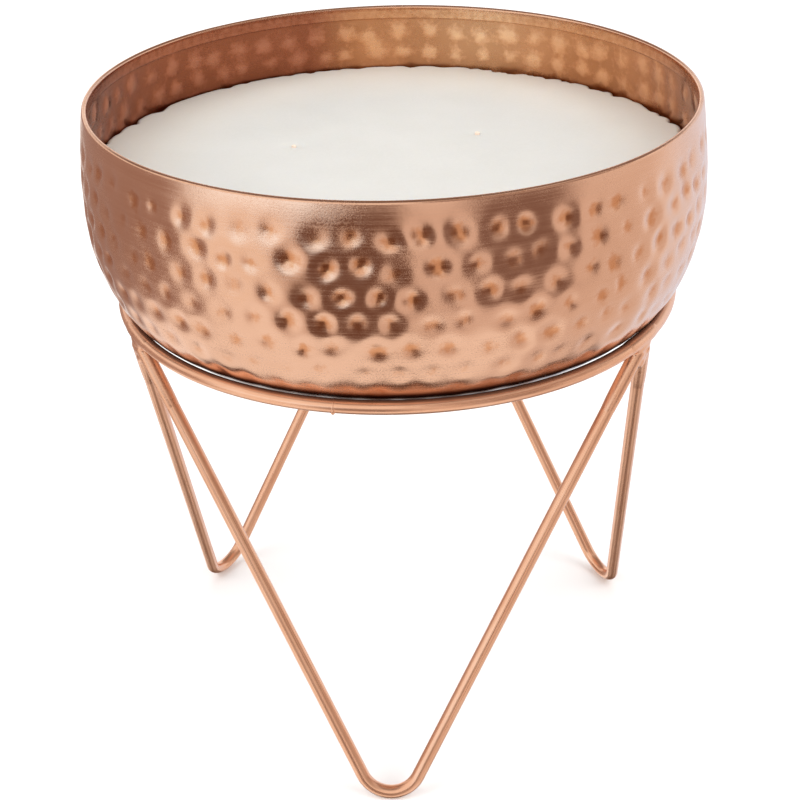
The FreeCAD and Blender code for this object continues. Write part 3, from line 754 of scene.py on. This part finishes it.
def leg_path(azimuth):
    """A V leg's centre line: down one arm, round the foot and up the other."""
    half_span = math.radians(60) - math.asin(LEG_END_SPACING / 2 / LEG_TOP_RADIUS)
    across = LEG_TOP_RADIUS * math.sin(half_span)
    rise = RING_HEIGHT - LEG_TOP_DROP - WIRE
    run = FOOT_RADIUS - LEG_TOP_RADIUS * math.cos(half_span)
    slope = math.hypot(rise, run)
    reach = math.hypot(across, slope - FOOT_BEND)
    leave = math.atan2(slope - FOOT_BEND, across) - math.acos(FOOT_BEND / reach)
    bend = np.linspace(-math.pi / 2, leave, BEND_STEPS)
    flat = [(FOOT_BEND * math.cos(a), FOOT_BEND + FOOT_BEND * math.sin(a)) for a in bend]
    start = flat[-1]
    for share in np.linspace(0, 1, ARM_STEPS)[1:]:
        flat.append((start[0] + (across - start[0]) * share, start[1] + (slope - start[1]) * share))
    half = np.array(flat)
    whole = np.concatenate([half[::-1] * [-1, 1], half[1:]])
    turn = math.radians(azimuth)
    outward = np.array([math.sin(turn), -math.cos(turn), 0])
    sideways = np.array([math.cos(turn), math.sin(turn), 0])
    up = (np.array([0, 0, rise]) - outward * run) / slope
    foot = outward * FOOT_RADIUS + np.array([0, 0, WIRE])
    return [foot + sideways * x + up * y for x, y in whole]


def blob(name, lumps, threads, voxel, smooth, material, replaced):
    """Lumps (centre, semi-axes, azimuth) and threads (points, faces) melted into one piece of weld."""
    bpy.ops.mesh.primitive_ico_sphere_add(subdivisions=3, radius=1.0)
    made = bpy.context.object
    made.name = name
    ball = made.data
    unit = np.array([v.co[:] for v in ball.vertices])
    corners = np.array([p.vertices[:] for p in ball.polygons])
    points, faces = [], []
    for centre, size, azimuth in lumps:
        turn = math.radians(azimuth)
        spin = np.array(Matrix.Rotation(turn, 3, "Z"))
        faces += (corners + len(points) * len(unit)).tolist()
        points.append(np.asarray(centre) + (unit * size) @ spin.T)
    for thread_points, thread_faces in threads:
        first = sum(len(part) for part in points)
        faces += [[corner + first for corner in face] for face in thread_faces]
        points.append(thread_points)
    parts = bpy.data.meshes.new(name)
    parts.from_pydata(np.concatenate(points).tolist(), [], faces)
    made.data = parts
    remesh = made.modifiers.new("melt", "REMESH")
    remesh.mode = "VOXEL"
    remesh.voxel_size = voxel
    relax = made.modifiers.new("relax", "SMOOTH")
    relax.factor = 0.5
    relax.iterations = smooth
    bpy.context.view_layer.update()
    baked = bpy.data.meshes.new_from_object(made.evaluated_get(bpy.context.evaluated_depsgraph_get()))
    made.modifiers.clear()
    made.data = baked
    baked.materials.clear()
    baked.materials.append(material)
    baked.polygons.foreach_set("use_smooth", np.ones(len(baked.polygons), bool))
    places = np.zeros(len(baked.vertices) * 3)
    baked.vertices.foreach_get("co", places)
    grain = baked.attributes.new("grain", "FLOAT_VECTOR", "POINT")
    grain.data.foreach_set("vector", places.astype(np.float32))
    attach(made, "stand")
    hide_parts(*replaced)
    return made


def thread(path, reach, size):
    """Points and faces of a tube round the start of a wire's path, which sinks into the wire.

    reach is where it ends, measured level.
    """
    path = np.asarray(path)
    along = run_length(path)
    places = np.linspace(0, reach, THREAD_STEPS)
    line = np.stack([np.interp(places, along, path[:, axis]) for axis in range(3)], -1)
    radius = size - (size - THREAD_TIP) * (places / reach) ** 6
    rings, _ = sweep(line, radius, THREAD_SIDES, False)
    faces = grid_faces(len(rings), THREAD_SIDES)
    first = list(range(THREAD_SIDES))
    last = [(len(rings) - 1) * THREAD_SIDES + side for side in first]
    faces += [first[::-1], last]
    return rings.reshape(-1, 3), [face[::-1] for face in faces]


def joint_parts(azimuth):
    """The weld where two leg ends meet under the ring, with a smooth run-out along each wire."""
    under_ring = on_azimuth(RING_RADIUS + 0.2 * MM, azimuth, RING_HEIGHT - 2.4 * MM)
    between = on_azimuth(LEG_TOP_RADIUS + 0.2 * MM, azimuth, RING_HEIGHT - 6.0 * MM)
    crotch = on_azimuth(LEG_TOP_RADIUS, azimuth, RING_HEIGHT - 9.5 * MM)
    lumps = [
        (under_ring, (7.5 * MM, 3.2 * MM, 3.0 * MM), azimuth),
        (between, (5.6 * MM, 3.3 * MM, 4.0 * MM), azimuth),
        (crotch, (3.6 * MM, 2.9 * MM, 4.2 * MM), azimuth),
    ]
    threads = []
    for side in (-1, 1):
        turns = azimuth + side * np.linspace(0, 7, 15)
        threads.append(thread([on_azimuth(RING_RADIUS, a, RING_HEIGHT) for a in turns], *RING_THREAD))
        leg = np.array(leg_path(azimuth + 60 * side))
        arm = leg[:ARM_NEAR_END] if side > 0 else leg[::-1][:ARM_NEAR_END]
        top = arm[0] + (arm[0] - arm[4]) / np.linalg.norm(arm[0] - arm[4]) * 3 * MM
        threads.append(thread(np.concatenate([[top], arm]), *LEG_THREAD))
    return lumps, threads


def make_stand():
    """Ring, legs, joint welds and the ring's closing weld."""
    wire_piece("ring_wire", ring_path(), True, COPPER_WIRE, ["support_ring"])
    for name, azimuth in LEG_AZIMUTHS.items():
        wire_piece(name + "_wire", leg_path(azimuth), False, COPPER_WIRE, [name])
    for name, azimuth in JOINT_AZIMUTHS.items():
        lumps, threads = joint_parts(azimuth)
        blob(name + "_bead", lumps, threads, JOINT_VOXEL, JOINT_RELAX, COPPER_WELD, [name])
    seam = on_azimuth(RING_RADIUS, SEAM_AZIMUTH, RING_HEIGHT)
    nub = on_azimuth(RING_RADIUS + 2.5 * MM, SEAM_AZIMUTH, RING_HEIGHT - 1.5 * MM)
    lumps = [
        (seam, (1.7 * MM, 3.12 * MM, 3.12 * MM), SEAM_AZIMUTH),
        (nub, (0.9 * MM, 0.9 * MM, 1.3 * MM), SEAM_AZIMUTH),
    ]
    replaced = ["ring_closing_weld"]
    blob("ring_seam_bead", lumps, [], SEAM_VOXEL, SEAM_RELAX, COPPER_WELD, replaced)


# ------------------------------------------------------------------ floor, light and camera

CAMERA_AZIMUTH = 4.18
CAMERA_DISTANCE = 700.2 * MM
CAMERA_HEIGHT = 521.1 * MM
CAMERA_LENS = 74.63
LOOK_DOWN = 28.51
ROLL = -1.43
FLOOR_HALF = 6.0
PLAIN_LIGHT = 1.22


def area_light(name, centre, target, size, power):
    """A rectangular soft light that faces a target."""
    data = bpy.data.lights.new(name, "AREA")
    data.shape = "RECTANGLE"
    data.size, data.size_y = size
    data.energy = power
    light = bpy.data.objects.new(name, data)
    bpy.context.scene.collection.objects.link(light)
    light.location = centre
    light.rotation_mode = "QUATERNION"
    light.rotation_quaternion = (Vector(centre) - Vector(target)).to_track_quat("Z", "Y")
    light.visible_camera = False
    light.visible_glossy = False
    return light


def make_floor():
    """A large pale floor."""
    mesh = bpy.data.meshes.new("floor")
    corners = [(x * FLOOR_HALF, y * FLOOR_HALF, 0) for x, y in ((-1, -1), (1, -1), (1, 1), (-1, 1))]
    mesh.from_pydata(corners, [], [(0, 1, 2, 3)])
    floor = bpy.data.objects.new("floor", mesh)
    bpy.context.scene.collection.objects.link(floor)
    material, _, shader = new_material("floor_white")
    shader.inputs["Base Color"].default_value = (0.93, 0.93, 0.93, 1)
    shader.inputs["Roughness"].default_value = 0.9
    shader.inputs["Specular IOR Level"].default_value = 0.0
    mesh.materials.append(material)
    floor.visible_glossy = False


ROOM = (
    # what the metal mirrors: (azimuth from, to, elevation from, to, softness, colour), in degrees
    (116, 258, -46, 18, 12, (1.08, 1.06, 1.04)),
    (116, 174, -50, 18, 10, (0.84, 0.90, 1.03)),
    (70, 128, -70, -34, 8, (0.76, 0.69, 0.66)),
    (-60, 92, 8, 40, 8, (0.95, 0.92, 0.89)),
    (14, 95, 6, 42, 6, (0.36, 0.27, 0.23)),
    (-40, 112, -42, 2, 8, (0.75, 0.66, 0.61)),
    (-62, -42, -24, 14, 6, (0.95, 0.90, 0.84)),
    (-28, 6, -42, 2, 3.5, (0.17, 0.095, 0.07)),
    (-72, -17, -6, 7, 4, (1.12, 1.38, 1.62)),
    (30, 66, -26, 4, 5, (0.22, 0.14, 0.115)),
    (-152, -74, -36, 8, 6, (0.37, 0.265, 0.235)),
    (112, 250, -82, -52, 4, (0.10, 0.05, 0.035)),
    (-180, 180, -95, -76, 4, (0.12, 0.065, 0.045)),
    (-180, 180, 50, 95, 8, (0.22, 0.17, 0.15)),
    (100, 262, 24, 60, 6, (0.24, 0.18, 0.16)),
)


def make_world():
    """Even white light on everything, and ROOM's lighter and darker patches for the metal to mirror."""
    world = bpy.data.worlds.new("studio")
    bpy.context.scene.world = world
    world.use_nodes = True
    graph = Graph(world.node_tree)
    place = graph.node("ShaderNodeTexCoord")
    split = graph.node("ShaderNodeSeparateXYZ")
    graph.link(place.outputs["Generated"], split.inputs["Vector"])
    azimuth = graph.math("ARCTAN2", split.outputs["X"], graph.math("MULTIPLY", split.outputs["Y"], -1.0))
    azimuth = graph.math("MULTIPLY", azimuth, 180 / math.pi)
    elevation = graph.math("MULTIPLY", graph.math("ARCSINE", split.outputs["Z"], 0.0), 180 / math.pi)
    colour = (0.97, 0.95, 0.93)
    for az_low, az_high, el_low, el_high, soft, tone in ROOM:
        mask = None
        for value, low, high in ((azimuth, az_low, az_high), (elevation, el_low, el_high)):
            if high - low == 360:  # all round, so nothing to mask
                continue
            if high > 180:
                value = graph.math("MODULO", graph.math("ADD", value, 360.0), 360.0)
            rise = graph.smooth(value, low - soft, low + soft)
            fall = graph.smooth(value, high + soft, high - soft)
            both = graph.math("MULTIPLY", rise, fall)
            mask = both if mask is None else graph.math("MULTIPLY", mask, both)
        colour = graph.mix(mask, colour, tone)
    mirrored = world.node_tree.nodes["Background"]
    mirrored.inputs["Strength"].default_value = 1.0
    graph.link(colour, mirrored.inputs["Color"])
    plain_light = graph.node("ShaderNodeBackground")
    plain_light.inputs["Color"].default_value = (1, 1, 1, 1)
    plain_light.inputs["Strength"].default_value = PLAIN_LIGHT
    path = graph.node("ShaderNodeLightPath")
    choose = graph.node("ShaderNodeMixShader")
    graph.link(path.outputs["Is Glossy Ray"], choose.inputs[0])
    graph.link(plain_light.outputs[0], choose.inputs[1])
    graph.link(mirrored.outputs[0], choose.inputs[2])
    graph.link(choose.outputs[0], world.node_tree.nodes["World Output"].inputs["Surface"])


def make_camera():
    """The camera, a little to the right of the front leg, looking down at the axis."""
    data = bpy.data.cameras.new("camera")
    data.sensor_width = 36.0
    data.lens = CAMERA_LENS
    camera = bpy.data.objects.new("camera", data)
    bpy.context.scene.collection.objects.link(camera)
    turn = Matrix.Rotation(math.radians(CAMERA_AZIMUTH), 3, "Z")
    down = math.radians(LOOK_DOWN)
    roll = math.radians(ROLL)
    forward = turn @ Vector((0, math.cos(down), -math.sin(down)))
    right = turn @ Vector((1, 0, 0))
    up = right.cross(forward)
    image_x = math.cos(roll) * right + math.sin(roll) * up
    image_y = -math.sin(roll) * right + math.cos(roll) * up
    axes = Matrix((image_x, image_y, -forward)).transposed()
    place = Vector(on_azimuth(CAMERA_DISTANCE, CAMERA_AZIMUTH, CAMERA_HEIGHT))
    camera.matrix_world = Matrix.Translation(place) @ axes.to_4x4()
    bpy.context.scene.camera = camera


def make_lights():
    """Plain soft studio light."""
    top = (0, 0, 0.25)
    area_light("softbox_left", (-1.4, -0.9, 1.5), top, (1.2, 1.2), 12.0)
    area_light("softbox_right", (1.5, -0.7, 1.6), top, (1.2, 1.2), 12.0)


# ------------------------------------------------------------------ whole scene

make_bowl()
make_wax()
for wick in WICKS:
    make_wick(wick)
for node in ("sustainer_front", "sustainer_right", "sustainer_left"):
    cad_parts[node].data.materials.clear()
    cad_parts[node].data.materials.append(TIN)
make_stand()
make_floor()
make_world()
make_lights()
make_camera()
bpy.context.scene.view_settings.view_transform = "Standard"
